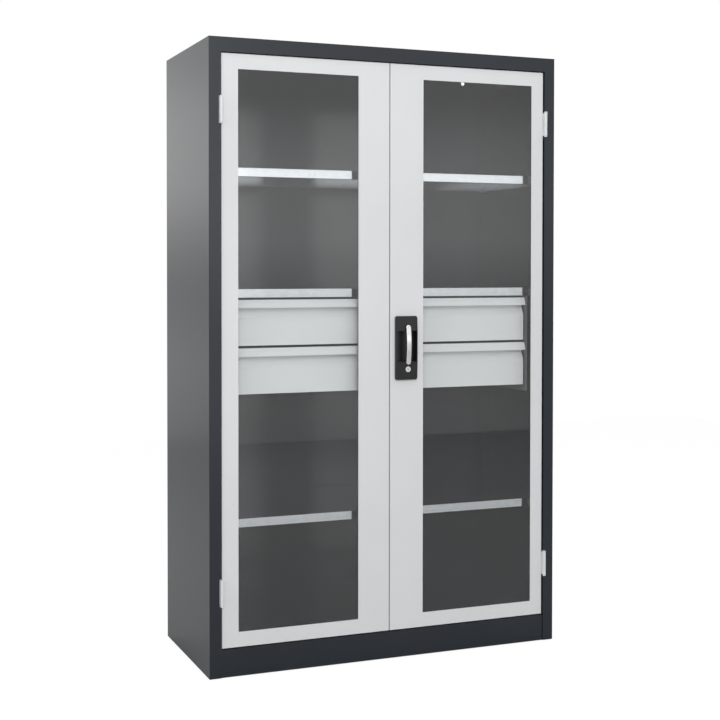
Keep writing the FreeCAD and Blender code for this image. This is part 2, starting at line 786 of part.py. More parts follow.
# Pinion: involute teeth, thinned by the backlash; radii are in modules
teeth = int(gear_teeth.value)
pressure = math.radians(gear_angle.value)
pitch_r = teeth / 2
base_r = pitch_r * math.cos(pressure)
tip_r = pitch_r + gear_tip.value
root_r = pitch_r - gear_root.value
clear_r = tip_r + fit.value


def space_half(radius):
    """Half angle of the gap between two teeth at a radius."""
    at = math.acos(min(1.0, base_r / max(radius, base_r)))
    involute = math.tan(at) - at
    return math.pi / teeth - (math.pi / (2 * teeth) + math.tan(pressure) - pressure - involute)


pinion = body("pinion")
round_pad(pinion, "XZ_Plane", (lock_x, spindle_z), gear_module * tip_r, rod_y, rod_y + rod_t)
flank = [root_r, base_r, pitch_r, (pitch_r + tip_r) / 2, tip_r, clear_r]
gap = []
for sign in (-1, 1):
    radii = flank if sign > 0 else flank[::-1]
    for radius in radii:
        lean = space_half(radius) * sign
        across = gear_module * (radius * math.sin(lean)) + gear_lash * sign
        gap.append((lock_x + gear_module * (radius * math.cos(lean)), spindle_z + across))
tooth_gap = pocket(pinion, "XZ_Plane", gap, rod_y, rod_y + rod_t)
turned = pinion.newObject("PartDesign::PolarPattern", "pinion_turn")
turned.Originals = [tooth_gap]
hub = pinion.newObject("PartDesign::Line", "pinion_axis")
hub.setExpression("Placement.Base.x", lock_x.text)
hub.setExpression("Placement.Base.z", spindle_z.text)
hub.Placement.Rotation = FreeCAD.Rotation(FreeCAD.Vector(1, 0, 0), 90)
turned.Axis = (hub, [""])
turned.Angle = 360
turned.setExpression("Occurrences", gear_teeth.text)
pinion.Tip = turned
half = spindle_square / 2 + run_fit
square = box(lock_x - half, lock_x + half, spindle_z - half, spindle_z + half)
pocket(pinion, "XZ_Plane", square, rod_y, rod_y + rod_t)

# Bolts: flat rods with rack teeth on the side that faces the pinion
rack_pitch = gear_module * math.pi
for which, line in rod_x.items():
    sign = 1 if which == "upper" else -1
    rod = body(f"{which}_rod")
    crest = line - gear_module * gear_tip * sign
    foot = line + gear_module * gear_root * sign
    far = foot + rod_w * sign
    near, away = (crest, far) if sign > 0 else (far, crest)
    if which == "upper":
        low, high = spindle_z - rack_over, door_top - rod_tip
    else:
        low, high = door_low + rod_tip, spindle_z + rack_over
    pad(rod, "XZ_Plane", box(near, away, low, high), rod_y, rod_y + rod_t)
    smooth = (spindle_z + rack_under, high) if which == "upper" else (low, spindle_z - rack_under)
    trim = box(*((crest, foot) if sign > 0 else (foot, crest)), *smooth)
    pocket(rod, "XZ_Plane", trim, rod_y, rod_y + rod_t)
    wide = gear_module * (math.pi / 4 + gear_tip * math.tan(pressure)) + gear_lash
    narrow = gear_module * (math.pi / 4 - gear_root * math.tan(pressure)) + gear_lash
    level = spindle_z + rack_pitch / 2 * (1 if which == "upper" else -1)
    mouth = crest - fit * sign
    notch = [(mouth, level - wide), (foot, level - narrow), (foot, level + narrow), (mouth, level + wide)]
    space = pocket(rod, "XZ_Plane", notch, rod_y, rod_y + rod_t)
    row(rod, space, "V_Axis", rack_pitch, rack_teeth, which == "upper")
    shift = rack_pitch * (1 if which == "upper" else -1)
    extra = [(x, y + shift) for x, y in notch]
    pocket(rod, "XZ_Plane", extra, rod_y, rod_y + rod_t)

gear_case = body("lock_case")
case_x = (lock_x - gear_case_w / 2, lock_x + gear_case_w / 2)
cover = [(case_x[0], skin_y), (case_x[0], door_back), (case_x[1], door_back), (case_x[1], skin_y)]
case_levels = (spindle_z - gear_case_low, spindle_z + gear_case_high)
pad(gear_case, "XY_Plane", folded(cover[::-1], gear_case_t), *case_levels)
bore(gear_case, "XZ_Plane", (lock_x, spindle_z), spindle_tip_r + run_fit, gear_back, door_back)

guides = body("rod_guides")
for which, line in rod_x.items():
    sign = 1 if which == "upper" else -1
    inner = line + gear_module * gear_root * sign
    edges = (inner, inner + rod_w * sign)
    low_x, high_x = edges if sign > 0 else edges[::-1]
    middle = (low_x + high_x) / 2
    stop = door_top if which == "upper" else door_low
    for z in (spindle_z + guide_near * sign, stop - guide_far * sign):
        block = box(middle - guide_w / 2, middle + guide_w / 2, skin_y, rod_y + rod_t + wall)
        pad(guides, "XY_Plane", block, z - guide_h / 2, z + guide_h / 2)
        across = (low_x - guide_fit, high_x + guide_fit)
        channel = box(*across, rod_y - guide_fit, rod_y + rod_t + guide_fit)
        pocket(guides, "XY_Plane", channel, z - guide_h / 2, z + guide_h / 2)

# Lock: a fixed barrel in the case, a turning plug with a keyway and the cam behind it
barrel = body("lock_barrel")
key_front = land_y - key_proud
key_back = key_front + key_l
round_pad(barrel, "XZ_Plane", (lock_x, key_z), key_barrel_r, key_front, key_back, key_plug_r + run_fit)
plug = body("lock_plug")
round_pad(plug, "XZ_Plane", (lock_x, key_z), key_plug_r, key_front, key_back)
key_slot = box(lock_x - keyway_w / 2, lock_x + keyway_w / 2, key_z - keyway_h / 2, key_z + keyway_h / 2)
pocket(plug, "XZ_Plane", key_slot, key_front, key_front + keyway_d)
tongue = body("lock_cam")
half = cam_w / 2
pad(tongue, "XZ_Plane", box(lock_x - half, lock_x + half, key_z - cam_l, key_z), key_back, key_back + cam_t)
round_pad(tongue, "XZ_Plane", (lock_x, key_z), cam_w / 2, key_back, key_back + cam_t)

doc.recompute()
for thing in doc.Objects:
    if "Invalid" in thing.State or "Error" in thing.State:
        raise RuntimeError(f"{thing.Label} did not rebuild: {thing.State}")
os.makedirs("parts", exist_ok=True)
for node in nodes:
    if node.Shape.isNull() or not node.Shape.isValid() or not node.Shape.Solids:
        raise RuntimeError(f"{node.Label} has no valid solid")
    node.Shape.exportStep(f"parts/{node.Label}.step")
    extent = node.Shape.BoundBox
    print(f"{node.Label}: {len(node.Shape.Solids)} solid(s), {node.Shape.Volume / 1000:.1f} cm3, "
          f"x {extent.XMin:.1f} {extent.XMax:.1f} y {extent.YMin:.1f} {extent.YMax:.1f} "
          f"z {extent.ZMin:.1f} {extent.ZMax:.1f}")
print(f"{len(nodes)} nodes")
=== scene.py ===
# %% [markdown]
# # A glazed storage cabinet
#
# This lesson dresses a steel cabinet: an anthracite carcass, light grey doors with clear panes, bright
# galvanised shelves and two drawers behind the glass. The solids come from CAD and already sit in the right
# place, so the work here is camera, light, finishes, one seal strip and the small fasteners that CAD leaves
# out.
#
# Loading the frame first gives us every solid by name.

# %% Load the solids
import json
import math

import bmesh
import bpy
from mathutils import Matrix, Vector


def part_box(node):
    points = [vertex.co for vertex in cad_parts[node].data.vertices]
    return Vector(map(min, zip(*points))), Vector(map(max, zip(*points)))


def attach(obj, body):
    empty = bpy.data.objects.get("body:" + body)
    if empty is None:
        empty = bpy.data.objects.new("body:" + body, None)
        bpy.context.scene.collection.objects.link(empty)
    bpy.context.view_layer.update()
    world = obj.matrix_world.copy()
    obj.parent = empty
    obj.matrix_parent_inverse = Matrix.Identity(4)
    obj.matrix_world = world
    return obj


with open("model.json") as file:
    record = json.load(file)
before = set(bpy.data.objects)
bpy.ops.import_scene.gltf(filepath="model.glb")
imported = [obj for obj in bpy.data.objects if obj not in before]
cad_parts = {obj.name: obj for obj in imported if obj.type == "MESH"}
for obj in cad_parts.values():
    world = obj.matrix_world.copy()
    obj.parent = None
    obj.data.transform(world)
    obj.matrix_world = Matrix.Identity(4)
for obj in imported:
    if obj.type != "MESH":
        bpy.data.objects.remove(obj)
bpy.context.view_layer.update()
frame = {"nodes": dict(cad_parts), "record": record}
scene = bpy.context.scene
nodes = frame["nodes"]

# %% [markdown]
# ## Camera
#
# The picture was taken from the front left, a little above the middle of the doors, with a long lens. Upright
# edges stay parallel in it, which a view camera does by shifting the lens instead of tilting it. We tilt the
# camera a little and shift the rest, so that views from other sides stay in the frame as well.

# %% Camera at the photograph's viewing angle
SENSOR_MM = 36.0
LENS_MM = 63.86
LENS_SHIFT = (0.069, -0.090)
CAMERA_PLACE = Vector((-1.6960, -3.9415, 1.2477))
CAMERA_YAW = 0.3670
CAMERA_DIP = 0.0201

camera_data = bpy.data.cameras.new("camera")
camera_data.sensor_width = SENSOR_MM
camera_data.lens = LENS_MM
camera_data.shift_x, camera_data.shift_y = LENS_SHIFT
camera = bpy.data.objects.new("camera", camera_data)
camera.location = CAMERA_PLACE
camera.rotation_euler = (math.pi / 2 - CAMERA_DIP, 0, -CAMERA_YAW)
scene.collection.objects.link(camera)
scene.camera = camera
print("camera at", [round(v, 3) for v in CAMERA_PLACE], "lens", LENS_MM)

# %% [markdown]
# ## Studio
#
# Painted steel shows its surroundings more than its own colour, so the studio matters as much as the paint.
# A picture of a room could be wrapped round the scene, but a ramp over the height is lighter and easier to
# tune. Ours is medium grey above and dim below, with a bright band just over the horizon and weaker bands
# above and below it, like rows of lit screens in a dark hall. Behind the cabinet the bands sit a little
# higher, and in reflections they are brightest a little right of the middle. The panes, the shelves and the
# paint mirror them, which gives the dark front its lighter top and the shelves their bright edges. The camera
# itself sees plain white, and so does a look straight through the glass.


# %% Small helpers for node trees
def tree_of(holder):
    """Empty a material's or the world's node tree and return it."""
    holder.use_nodes = True
    holder.node_tree.nodes.clear()
    return holder.node_tree


def feed(tree, socket, value):
    """Link an output to an input socket, or set the socket to a plain value."""
    if isinstance(value, bpy.types.NodeSocket):
        tree.links.new(value, socket)
    else:
        socket.default_value = value


def add(tree, kind, **sockets):
    """Add a node and feed its inputs, by name with _ for a space, or by number as i0, i1 and so on."""
    node = tree.nodes.new(kind)
    for name, value in sockets.items():
        numbered = name[0] == "i" and name[1:].isdigit()
        key = int(name[1:]) if numbered else name.replace("_", " ")
        feed(tree, node.inputs[key], value)
    return node


def maths(tree, operation, *values):
    """Join numbers or sockets by one arithmetic step."""
    node = tree.nodes.new("ShaderNodeMath")
    node.operation = operation
    for socket, value in zip(node.inputs, values):
        feed(tree, socket, value)
    return node.outputs[0]


print("node helpers ready")


# %% Helpers for ramps of colours and of greys
def ramp(tree, factor, *stops):
    """Blend colours along a factor; each stop is a position and a colour."""
    node = tree.nodes.new("ShaderNodeValToRGB")
    elements = node.color_ramp.elements
    while len(elements) < len(stops):
        elements.new(0.5)
    for element, (place, colour) in zip(elements, stops):
        element.position = place
        element.color = (*colour, 1)
    tree.links.new(factor, node.inputs[0])
    return node.outputs[0]


def grey(level):
    return (level, level, level)


def grey_ramp(tree, direction, stops):
    """Blend greys along one axis of a direction, which runs from -1 to 1 and is moved to 0 to 1 first."""
    factor = maths(tree, "MULTIPLY_ADD", direction, 0.5, 0.5)
    return ramp(tree, factor, *[(place, grey(level)) for place, level in stops])


def looks(tree):
    """Two factors: 1 for what is seen in a mirror, and 1 for what is seen straight or through glass."""
    path = add(tree, "ShaderNodeLightPath").outputs
    mirrored = maths(tree, "MINIMUM", path["Glossy Depth"], 1.0)
    seen = maths(tree, "MAXIMUM", path["Is Camera Ray"], path["Is Transmission Ray"])
    straight = maths(tree, "MULTIPLY", seen, maths(tree, "SUBTRACT", 1.0, mirrored))
    return mirrored, straight


print("ramp helpers ready")

# %% World: pale above, dimmer towards the ground, white for the camera
# Stops of the sky: height from straight down (0) to straight up (1), then the level of grey.
SKY_LEVELS = ((0.0, 0.32), (0.41, 0.46), (0.445, 0.60), (0.470, 0.49), (0.483, 0.54),
              (0.512, 1.0), (0.540, 1.0), (0.565, 0.68), (0.574, 0.68), (0.586, 0.84),
              (0.60, 0.84), (0.64, 0.66), (1.0, 0.65))
# Stops of the mirrored sky from far left (0) to far right (1), then the share of its light.
ACROSS_LEVELS = ((0.45, 0.49), (0.58, 0.95), (0.632, 1.0), (0.654, 0.575), (0.735, 0.555), (0.80, 0.35))
REAR_DROP = 0.04
LIGHT_STRENGTH = 0.80
MIRROR_STRENGTH = 2.4
WHITE = (1, 1, 1, 1)

world = bpy.data.worlds.new("studio")
scene.world = world
tree = tree_of(world)
mirrored, straight = looks(tree)
toward = add(tree, "ShaderNodeSeparateXYZ", i0=add(tree, "ShaderNodeTexCoord").outputs["Generated"]).outputs
behind = maths(tree, "MAXIMUM", toward["Y"], 0.0)
sky = grey_ramp(tree, maths(tree, "MULTIPLY_ADD", behind, -REAR_DROP, toward["Z"]), SKY_LEVELS)
across = grey_ramp(tree, toward["X"], ACROSS_LEVELS)
mirror_strength = maths(tree, "MULTIPLY", across, MIRROR_STRENGTH)
dim = add(tree, "ShaderNodeBackground", Color=sky, Strength=LIGHT_STRENGTH)
shiny = add(tree, "ShaderNodeBackground", Color=sky, Strength=mirror_strength)
white = add(tree, "ShaderNodeBackground", Color=WHITE, Strength=1.0)
lit = add(tree, "ShaderNodeMixShader", i0=mirrored, i1=dim.outputs[0], i2=shiny.outputs[0])
shown = add(tree, "ShaderNodeMixShader", i0=straight, i1=lit.outputs[0], i2=white.outputs[0])
add(tree, "ShaderNodeOutputWorld", Surface=shown.outputs[0])
print("world:", len(tree.nodes), "nodes")

# %% [markdown]
# ## Floor
#
# The photograph's ground is white and shows hardly any shadow. A floor painted white would throw its light up
# on the cabinet, so ours is a matt grey for every ray that lights the object. To the camera most of it is a
# white glow instead, and the matt rest keeps a soft shadow.

# %% Floor that is white to the camera and keeps a soft shadow
FLOOR_HALF = 5.2
FLOOR_PAINT = (0.45, 0.45, 0.45, 1)
FLOOR_GLOW = 1.3
FLOOR_WHITE = 0.70

floor_mesh = bpy.data.meshes.new("floor")
corners = [(-FLOOR_HALF, -FLOOR_HALF, 0), (FLOOR_HALF, -FLOOR_HALF, 0),
           (FLOOR_HALF, FLOOR_HALF, 0), (-FLOOR_HALF, FLOOR_HALF, 0)]
floor_mesh.from_pydata(corners, [], [(0, 1, 2, 3)])
floor = bpy.data.objects.new("floor", floor_mesh)
scene.collection.objects.link(floor)
floor_paint = bpy.data.materials.new("pale_floor")
tree = tree_of(floor_paint)
straight = looks(tree)[1]
matt = add(tree, "ShaderNodeBsdfDiffuse", Color=FLOOR_PAINT)
glow = add(tree, "ShaderNodeEmission", Color=WHITE, Strength=FLOOR_GLOW)
share = maths(tree, "MULTIPLY", straight, FLOOR_WHITE)
mixed = add(tree, "ShaderNodeMixShader", i0=share, i1=matt.outputs[0], i2=glow.outputs[0])
add(tree, "ShaderNodeOutputMaterial", Surface=mixed.outputs[0])
floor_mesh.materials.append(floor_paint)
print("floor half width", FLOOR_HALF)

# %% [markdown]
# ## Lamps
#
# Three square lamps light the object: a large one in front, a fill on the left and a weak one above. A sun or
# a spot would cut hard shadows, and large lamps give soft ones. The front lamp isn't seen in reflections or
# through the glass, because mirrored in a pane it would be a white sheet that hides the shelves.


# %% Soft lamps: a large front light, a left fill and a weak top light
def softbox(name, place, aim, wide, watts):
    """A square area lamp that faces a point."""
    data = bpy.data.lights.new(name, "AREA")
    data.size = wide
    data.energy = watts
    lamp = bpy.data.objects.new(name, data)
    lamp.location = place
    lamp.rotation_euler = (Vector(aim) - Vector(place)).to_track_quat("-Z", "Y").to_euler()
    scene.collection.objects.link(lamp)
    return lamp


front_light = softbox("front_light", place=(-1.4, -5.2, 3.0), aim=(0, 0, 1.1), wide=3.0, watts=165)
front_light.visible_glossy = False
front_light.visible_transmission = False
softbox("left_light", place=(-4.5, -1.0, 3.2), aim=(-0.6, 0, 1.2), wide=2.5, watts=60)
softbox("top_light", place=(0.4, -0.6, 4.6), aim=(0, 0, 1.0), wide=2.5, watts=40)

# %% [markdown]
# ## Powder coat
#
# Every finish is built from the object's own coordinates, in metres, so a pattern has its real size and
# stays put on a moving door. Powder coat is never a flat colour: it melts into a fine orange peel, which
# blurs reflections unevenly. A low noise bump gives the peel, and slower noises shift colour and gloss a
# little.


# %% Helpers that every finish uses
NOISE_LOW = 0.3
NOISE_HIGH = 0.7


def coordinates(tree):
    return add(tree, "ShaderNodeTexCoord").outputs["Object"]


def noise(tree, place, scale, detail=2.0):
    return add(tree, "ShaderNodeTexNoise", Vector=place, Scale=scale, Detail=detail).outputs["Fac"]


def bump(tree, height, strength, distance):
    return add(tree, "ShaderNodeBump", Height=height, Strength=strength, Distance=distance).outputs[0]


def spread(tree, factor, low, high):
    """Map a factor from 0..1 to a range of values."""
    return add(tree, "ShaderNodeMapRange", Value=factor, To_Min=low, To_Max=high).outputs[0]


def between(tree, factor, deep, pale):
    """Blend two colours over the range in which a noise mostly lies."""
    return ramp(tree, factor, (NOISE_LOW, deep), (NOISE_HIGH, pale))


def finished(name, make):
    """Make a material whose surface shader comes from the given function."""
    material = bpy.data.materials.new(name)
    tree = tree_of(material)
    surface = make(tree)
    add(tree, "ShaderNodeOutputMaterial", Surface=surface)
    return material


print("finish helpers ready")

# %% Powder coat for the carcass, the doors, the drawers and their carriers
ANTHRACITE = {"pale": (0.008, 0.012, 0.018), "deep": (0.006, 0.010, 0.015)}
LIGHT_GREY = {"pale": (0.65, 0.665, 0.67), "deep": (0.62, 0.635, 0.64)}
CARRIER_GREY = {"pale": (0.135, 0.14, 0.148), "deep": (0.12, 0.125, 0.132)}
PATCH_SCALE = 3.0
GLOSS_SCALE = 40.0
GLOSS_SWING = 0.04
PEEL_SCALE = 900.0
PEEL_DETAIL = 3.0
PEEL_STRENGTH = 0.06
PEEL_DEPTH = 0.0002


def powder_coat(name, shades, roughness, shine=0.5):
    """Paint between two near shades, with orange peel and a roughness that wanders about its mean."""
    def make(tree):
        place = coordinates(tree)
        colour = between(tree, noise(tree, place, PATCH_SCALE), **shades)
        peel = noise(tree, place, PEEL_SCALE, PEEL_DETAIL)
        wander = noise(tree, place, GLOSS_SCALE)
        rough = spread(tree, wander, roughness - GLOSS_SWING, roughness + GLOSS_SWING)
        shader = add(tree, "ShaderNodeBsdfPrincipled", Base_Color=colour, Roughness=rough,
                     Specular_IOR_Level=shine, Normal=bump(tree, peel, PEEL_STRENGTH, PEEL_DEPTH))
        return shader.outputs[0]
    return finished(name, make)


anthracite = powder_coat("anthracite_coat", ANTHRACITE, roughness=0.18, shine=0.52)
light_grey = powder_coat("light_grey_coat", LIGHT_GREY, roughness=0.45)
drawer_grey = powder_coat("drawer_grey_coat", LIGHT_GREY, roughness=0.42)
carrier_grey = powder_coat("carrier_grey_coat", CARRIER_GREY, roughness=0.36)
print("coats:", anthracite.name, light_grey.name, drawer_grey.name, carrier_grey.name)

# %% [markdown]
# ## Metals
#
# The shelves and the gear case are galvanised: zinc freezes in crystals a centimetre across, each with its
# own gloss. A picture of zinc could be used, but a Voronoi texture gives such cells at their real size.
# Faces that look down are painted a darker grey, a painted shade, and they are also rougher. Plated and
# satin parts only need a stretched noise for their fine drawn lines.

# %% Galvanised sheet
SPANGLE_SCALE = 85.0
ZINC_DEEP = (0.635, 0.66, 0.68)
ZINC_PALE = (0.67, 0.69, 0.71)
ZINC_SMOOTH = 0.09
ZINC_ROUGH = 0.12
LOOKS_DOWN = -0.5
UNDERSIDE_PAINTED_SHADE = 0.55
UNDERSIDE_DULL = 0.10


def galvanised(tree):
    cells = add(tree, "ShaderNodeTexVoronoi", Vector=coordinates(tree), Scale=SPANGLE_SCALE).outputs["Color"]
    tone = add(tree, "ShaderNodeSeparateXYZ", i0=cells).outputs["X"]
    colour = ramp(tree, tone, (0.0, ZINC_DEEP), (1.0, ZINC_PALE))
    facing = add(tree, "ShaderNodeSeparateXYZ", i0=add(tree, "ShaderNodeTexCoord").outputs["Normal"])
    # Painted shade: faces that look down get a darker colour, and a rougher gloss as well.
    underside = maths(tree, "LESS_THAN", facing.outputs["Z"], LOOKS_DOWN)
    unshaded_share = maths(tree, "MULTIPLY_ADD", underside, -UNDERSIDE_PAINTED_SHADE, 1.0)
    painted_shade_colour = add(tree, "ShaderNodeHueSaturation", Color=colour, Value=unshaded_share).outputs[0]
    clean = spread(tree, tone, ZINC_SMOOTH, ZINC_ROUGH)
    rough = maths(tree, "MULTIPLY_ADD", underside, UNDERSIDE_DULL, clean)
    shader = add(tree, "ShaderNodeBsdfPrincipled", Base_Color=painted_shade_colour, Roughness=rough, Metallic=1.0)
    return shader.outputs[0]


zinc_sheet = finished("galvanised_sheet", galvanised)
print("zinc:", zinc_sheet.name)

# %% Plated steel and satin chrome
LINES_LEVEL = (1, 1, 20)
LINES_UPRIGHT = (20, 20, 1)
LINE_SCALE = 60.0
LINE_DETAIL = 4.0
LINE_SHADE = 0.92
LINE_SWING = 0.05


def drawn_metal(level, roughness, stretch):
    """Bright metal with fine lines along one direction; stretch shrinks the noise across it."""
    def make(tree):
        stretched = add(tree, "ShaderNodeMapping", Vector=coordinates(tree), Scale=stretch).outputs[0]
        lines = noise(tree, stretched, LINE_SCALE, LINE_DETAIL)
        colour = between(tree, lines, grey(level * LINE_SHADE), grey(level))
        rough = spread(tree, lines, roughness - LINE_SWING, roughness + LINE_SWING)
        shader = add(tree, "ShaderNodeBsdfPrincipled", Base_Color=colour, Roughness=rough, Metallic=1.0)
        return shader.outputs[0]
    return make


plated_steel = finished("plated_steel", drawn_metal(level=0.62, roughness=0.30, stretch=LINES_LEVEL))
satin_chrome = finished("satin_chrome", drawn_metal(level=0.83, roughness=0.15, stretch=LINES_UPRIGHT))
print("metals:", plated_steel.name, satin_chrome.name)

# %% [markdown]
# ## Plastic and acrylic
#
# The handle's case, the rod guides and the feet are moulded in black plastic with a fine grain, which a noise
# bump gives. The panes are clear sheets. A transparent shader would be quicker to render, but transmission
# also mirrors and bends the light, so we use that, with faint marks of wiping in its gloss. Only shadow rays
# go straight through, so that the lamps reach the shelves.

# %% Moulded plastic
PLASTIC_DEEP = grey(0.006)
PLASTIC_PALE = grey(0.009)
CLOUD_SCALE = 25.0
GRAIN_SCALE = 1400.0
GRAIN_SMOOTH = 0.28
GRAIN_ROUGH = 0.40
GRAIN_STRENGTH = 0.25
GRAIN_DEPTH = 0.0003
PLASTIC_SHINE = 0.45


def moulded(tree):
    place = coordinates(tree)
    grain = noise(tree, place, GRAIN_SCALE)
    colour = between(tree, noise(tree, place, CLOUD_SCALE), PLASTIC_DEEP, PLASTIC_PALE)
    rough = spread(tree, grain, GRAIN_SMOOTH, GRAIN_ROUGH)
    shader = add(tree, "ShaderNodeBsdfPrincipled", Base_Color=colour, Roughness=rough,
                 Specular_IOR_Level=PLASTIC_SHINE, Normal=bump(tree, grain, GRAIN_STRENGTH, GRAIN_DEPTH))
    return shader.outputs[0]


black_plastic = finished("black_moulding", moulded)
print("plastic:", black_plastic.name)

# %% Clear acrylic
PANE_TINT = (0.97, 0.98, 0.98, 1)
PANE_SHADOW = (0.94, 0.95, 0.95, 1)
PANE_IOR = 1.54
WIPE_SCALE = 9.0
WIPE_DETAIL = 4.0
WIPE_SMOOTH = 0.012
WIPE_ROUGH = 0.028


def acrylic(tree):
    wiped = spread(tree, noise(tree, coordinates(tree), WIPE_SCALE, WIPE_DETAIL), WIPE_SMOOTH, WIPE_ROUGH)
    glass = add(tree, "ShaderNodeBsdfPrincipled", Base_Color=PANE_TINT, Roughness=wiped, IOR=PANE_IOR,
                Transmission_Weight=1.0)
    through = add(tree, "ShaderNodeBsdfTransparent", Color=PANE_SHADOW)
    shadow = add(tree, "ShaderNodeLightPath").outputs["Is Shadow Ray"]
    mixed = add(tree, "ShaderNodeMixShader", i0=shadow, i1=glass.outputs[0], i2=through.outputs[0])
    return mixed.outputs[0]


clear_acrylic = finished("clear_acrylic", acrylic)
print("panes:", clear_acrylic.name)

# %% [markdown]
# ## Dressing the solids
#
# On the real cabinet each piece has one finish, because it is coated, plated or moulded as a whole. The
# pieces could be dressed one by one. The part's record already names a slot for every solid, though, so one
# table from slot to finish dresses them all.

# %% Dress every solid by its slot
FINISH = {
    "carcass_paint": anthracite,
    "door_paint": light_grey,
    "drawer_paint": drawer_grey,
    "carrier_paint": carrier_grey,
    "galvanised_steel": zinc_sheet,
    "bright_steel": plated_steel,
    "satin_chrome": satin_chrome,
    "clear_acrylic": clear_acrylic,
    "black_plastic": black_plastic,
}
for part in frame["record"]["subparts"]:
    mesh = nodes[part["node"]].data
    mesh.materials.clear()
    mesh.materials.append(FINISH[part["material_slot"]])

# %% [markdown]
# ## Seal strip under the floor
#
# Between the plinth's ledge and the floor's front lip the sheets leave a slit of a few millimetres. On such
# cabinets a soft strip is pressed in there, so that no dust is drawn in below the doors. A curve with a bevel
# could make it. The strip is straight, though, so it is enough to draw its section once and stretch it from
# jamb to jamb: flat below and behind, round towards the doors.

# %% Draw the section of the strip
MM = 0.001
SEAL_RISE = 7.0 * MM
SEAL_FOOT = 2.25 * MM
SEAL_ROUND = 3.8 * MM
SEAL_STEPS = 6

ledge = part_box("plinth")
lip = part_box("floor_panel")[0]
seal_front, seal_back = ledge[1].y - SEAL_FOOT, lip.y
seal_low, seal_top = ledge[1].z, ledge[1].z + SEAL_RISE
section = [(seal_front, seal_low), (seal_back, seal_low), (seal_back, seal_top)]
for step in range(SEAL_STEPS + 1):
    angle = math.pi / 2 * (1 + step / SEAL_STEPS)
    section.append((seal_front + SEAL_ROUND + SEAL_ROUND * math.cos(angle),
                    seal_top - SEAL_ROUND + SEAL_ROUND * math.sin(angle)))
print("seal section:", len(section), "points, front to back", round((seal_back - seal_front) / MM, 2), "mm")

# %% Stretch it between the jambs
shape = bmesh.new()
ends = [[shape.verts.new((x, y, z)) for y, z in section] for x in (ledge[0].x, ledge[1].x)]
for place in range(len(section)):
    after = (place + 1) % len(section)
    shape.faces.new((ends[0][place], ends[0][after], ends[1][after], ends[1][place]))
for end in ends:
    shape.faces.new(end)
bmesh.ops.recalc_face_normals(shape, faces=shape.faces)
seal_mesh = bpy.data.meshes.new("floor_seal")
shape.to_mesh(seal_mesh)
shape.free()
seal_mesh.materials.append(black_plastic)
seal = bpy.data.objects.new("floor_seal", seal_mesh)
scene.collection.objects.link(seal)
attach(seal, "carcass")
print("seal faces:", len(seal_mesh.polygons))

# %% [markdown]
# ## Screw heads and nuts
#
# A sheet-metal cabinet is held by dozens of small screws: round the glazing frames, on the gear case and the
# rod guides behind the lock, along the drawer runners, and a lock nut on every foot. Cylinders with a bevel
# would do from afar. Turned ring by ring, as on a lathe, a head gets its domed edge and its six-sided socket
# with only a few dozen faces.

# %% Rings of points, and the shape that joins them
SIDES = 12


def ring(radius, height, six_sided=False):
    """A ring of points; a six-sided one lies on a hexagon of that inner radius."""
    points = []
    for step in range(SIDES):
        angle = 2 * math.pi * step / SIDES
        reach = radius / math.cos(angle % (math.pi / 3) - math.pi / 6) if six_sided else radius
        points.append((reach * math.cos(angle), reach * math.sin(angle), height))
    return points


def turned(name, rings, bored=False):
    """Join rings into a closed shape, with end caps or with a bore from the last ring to the first."""
    count = len(rings)
    faces = []
    for lower in range(count if bored else count - 1):
        upper = (lower + 1) % count
        for step in range(SIDES):
            after = (step + 1) % SIDES
            faces.append([lower * SIDES + step, lower * SIDES + after,
                          upper * SIDES + after, upper * SIDES + step])
    if not bored:
        faces.append(list(range(SIDES)))
        faces.append(list(range((count - 1) * SIDES, count * SIDES)))
    mesh = bpy.data.meshes.new(name)
    mesh.from_pydata([point for points in rings for point in points], [], faces)
    shape = bmesh.new()
    shape.from_mesh(mesh)
    bmesh.ops.recalc_face_normals(shape, faces=shape.faces)
    shape.to_mesh(mesh)
    shape.free()
    return bpy.data.objects.new(name, mesh)


print("sides of a turned shape:", SIDES)

# %% Screw heads and a nut, turned ring by ring
HEAD_SINK = 0.1 * MM
# Rings of a head from its rim to its socket: share of the radius, share of the height, six-sided or not.
HEAD_RINGS = ((1.0, 0.35, False), (0.86, 0.8, False), (0.6, 1.0, False), (0.42, 1.0, True), (0.40, 0.4, True))
NUT_FACE = 0.96
NUT_BEVEL = 0.12
STUD_BORE = 5.05 * MM


def screw_head(name, radius, height):
    """A low round head with a six-sided socket; its foot is sunk a hair into the sheet."""
    foot = ring(radius, -HEAD_SINK)
    return turned(name, [foot] + [ring(wide * radius, rise * height, six) for wide, rise, six in HEAD_RINGS])


def lock_nut(name, across_flats, height, bore):
    """A six-sided nut with bevelled corners and a bore of the given radius."""
    flat = across_flats / 2
    bevel = NUT_BEVEL * height
    return turned(name, [
        ring(bore, 0), ring(NUT_FACE * flat, 0), ring(flat, bevel, True), ring(flat, height - bevel, True),
        ring(NUT_FACE * flat, height), ring(bore, height),
    ], bored=True)


glazing_screw = screw_head("glazing_screw", radius=3.5 * MM, height=2.0 * MM)
case_screw = screw_head("case_screw", radius=3.0 * MM, height=1.6 * MM)
guide_screw = screw_head("guide_screw", radius=2.2 * MM, height=1.2 * MM)
runner_screw = screw_head("runner_screw", radius=4.0 * MM, height=1.8 * MM)
foot_nut = lock_nut("foot_nut", across_flats=17 * MM, height=8 * MM, bore=STUD_BORE)
print("heads:", {head.name: len(head.data.polygons) for head in (glazing_screw, case_screw, foot_nut)})

# %% [markdown]
# ## Fasteners in rows
#
# One screw could be copied by hand, but they stand in rows, so a Geometry Nodes tree sets them out: one line
# of points for the columns, one for the rows, and a head on every crossing. Its sizes are named inputs, so
# the same tree serves every set of screws. The export drops instances, so the tree ends by making them real.

